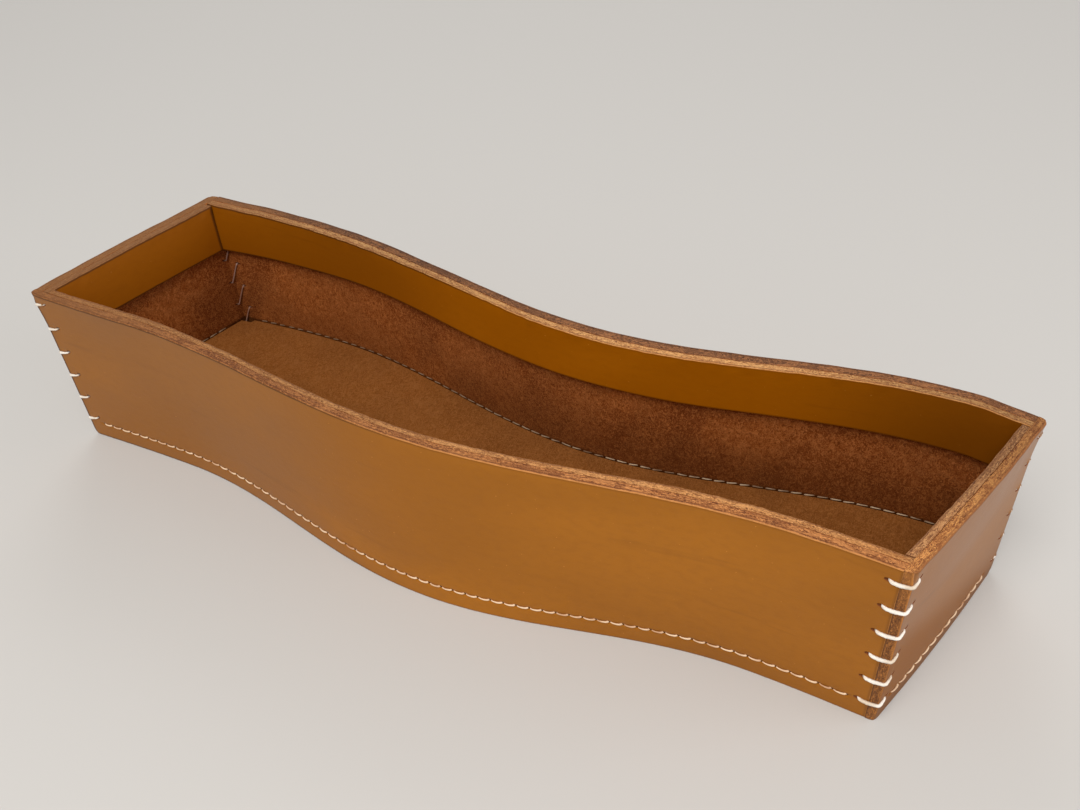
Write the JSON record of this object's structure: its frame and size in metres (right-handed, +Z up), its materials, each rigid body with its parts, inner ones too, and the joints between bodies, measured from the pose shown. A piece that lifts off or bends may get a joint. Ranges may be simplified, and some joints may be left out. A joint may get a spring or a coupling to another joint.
{
  "type": "leather desk organizer",
  "caption": "Long, low desk tray of thick tan leather with wavy upright walls, laced corners, a facing band round the inside of the rim and a floor panel sewn in between the walls.",
  "frame": {"origin": "Centre of the tray's bounding box in plan, on the table: Z = 0 is the lower edge of the walls.", "axes": "+Z up. +X runs along the tray to the right as seen from the wall that faces the viewer. -Y points towards that near wall."},
  "size_m": [0.3759, 0.1061, 0.079],
  "materials": {
    "wall_leather": "satin",
    "facing_leather": "satin",
    "floor_leather": "matte",
    "waxed_thread": "matte"
  },
  "bodies": {
    "root": {"near_wall": "wall_leather", "right_wall": "wall_leather", "far_wall": "wall_leather", "left_wall": "wall_leather", "near_facing": "facing_leather", "right_facing": "facing_leather", "far_facing": "facing_leather", "left_facing": "facing_leather", "floor_panel": "floor_leather", "near_seam": "waxed_thread", "right_seam": "waxed_thread", "far_seam": "waxed_thread", "left_seam": "waxed_thread", "near_left_lacing": "waxed_thread", "near_right_lacing": "waxed_thread", "far_right_lacing": "waxed_thread", "far_left_lacing": "waxed_thread"}
  },
  "joints": []
}
